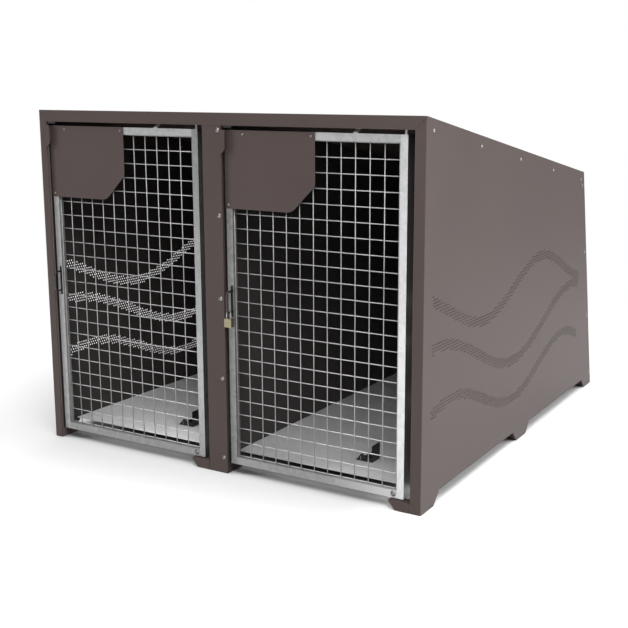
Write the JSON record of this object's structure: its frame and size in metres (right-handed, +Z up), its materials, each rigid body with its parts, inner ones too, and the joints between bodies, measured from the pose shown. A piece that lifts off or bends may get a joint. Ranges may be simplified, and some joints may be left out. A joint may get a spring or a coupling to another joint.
{
  "type": "bicycle locker",
  "caption": "Folded sheet steel bicycle locker with side by side bays, sloping roof and outward swinging welded mesh doors locked by lift rods and a padlock.",
  "frame": {"origin": "on the ground, at the centre of the overall box", "axes": "+X to the right seen from the front, +Y from the doors towards the rear, +Z up"},
  "size_m": [1.8364, 2.1082, 1.443],
  "materials": {
    "painted_steel": "satin powder coat, dark warm brown",
    "galvanised_steel": "hot dip galvanised, dull grey with a faint mottle",
    "black_steel": "black coated, semi gloss",
    "brass": "brushed brass",
    "bright_steel": "bright plated steel"
  },
  "bodies": {
    "locker": {"side_panel_left": "painted_steel", "side_panel_right": "painted_steel", "centre_divider": "painted_steel", "centre_post": "painted_steel", "roof_panel": "painted_steel", "rear_panel": "painted_steel", "floor_left": "galvanised_steel", "middle_member_left": "painted_steel", "rear_member_left": "painted_steel", "lower_pivot_left": "painted_steel", "upper_pivot_left": "painted_steel", "rod_keeper_left": "black_steel", "closing_stop_left": "galvanised_steel", "wheel_guide_left": "black_steel", "floor_right": "galvanised_steel", "middle_member_right": "painted_steel", "rear_member_right": "painted_steel", "lower_pivot_right": "painted_steel", "upper_pivot_right": "painted_steel", "rod_keeper_right": "black_steel", "closing_stop_right": "galvanised_steel", "wheel_guide_right": "black_steel", "roof_bolt_left_1": "bright_steel", "roof_bolt_left_2": "bright_steel", "roof_bolt_left_3": "bright_steel", "roof_bolt_left_4": "bright_steel", "roof_bolt_left_5": "bright_steel", "roof_bolt_right_1": "bright_steel", "roof_bolt_right_2": "bright_steel", "roof_bolt_right_3": "bright_steel", "roof_bolt_right_4": "bright_steel", "roof_bolt_right_5": "bright_steel"},
    "door_left": {"latch_stile_left": "galvanised_steel", "pivot_stile_left": "galvanised_steel", "top_rail_left": "galvanised_steel", "bottom_rail_left": "galvanised_steel", "wire_mesh_left": "galvanised_steel", "corner_plate_left": "painted_steel", "stop_ear_left": "painted_steel"},
    "latch_left": {"lock_rod_left": "black_steel", "bow_handle_left": "black_steel"},
    "door_right": {"latch_stile_right": "galvanised_steel", "pivot_stile_right": "galvanised_steel", "top_rail_right": "galvanised_steel", "bottom_rail_right": "galvanised_steel", "wire_mesh_right": "galvanised_steel", "corner_plate_right": "painted_steel", "stop_ear_right": "painted_steel"},
    "latch_right": {"lock_rod_right": "black_steel", "bow_handle_right": "black_steel"},
    "padlock_bow": {"padlock_shackle": "bright_steel"},
    "padlock_case": {"padlock_body": "brass"}
  },
  "joints": [
    {"name": "door_hinge_left", "type": "hinge", "parent": "locker", "child": "door_left", "pos_m": [-0.0945, -1.0039, 0.7], "axis": [0, 0, 1], "range_deg": [0, 105]},
    {"name": "latch_slide_left", "type": "slide", "parent": "door_left", "child": "latch_left", "axis": [0, 0, 1], "range_m": [0, 0.016]},
    {"name": "door_hinge_right", "type": "hinge", "parent": "locker", "child": "door_right", "pos_m": [0.8245, -1.0039, 0.7], "axis": [0, 0, 1], "range_deg": [0, 105]},
    {"name": "latch_slide_right", "type": "slide", "parent": "door_right", "child": "latch_right", "axis": [0, 0, 1], "range_m": [0, 0.016]},
    {"name": "padlock_swing", "type": "hinge", "parent": "latch_right", "child": "padlock_bow", "pos_m": [0.069, -1.0389, 0.6713], "axis": [0, 1, 0], "range_deg": [-35, 35]},
    {"name": "padlock_release", "type": "slide", "parent": "padlock_bow", "child": "padlock_case", "axis": [0, 0, -1], "range_m": [0, 0.008]}
  ]
}
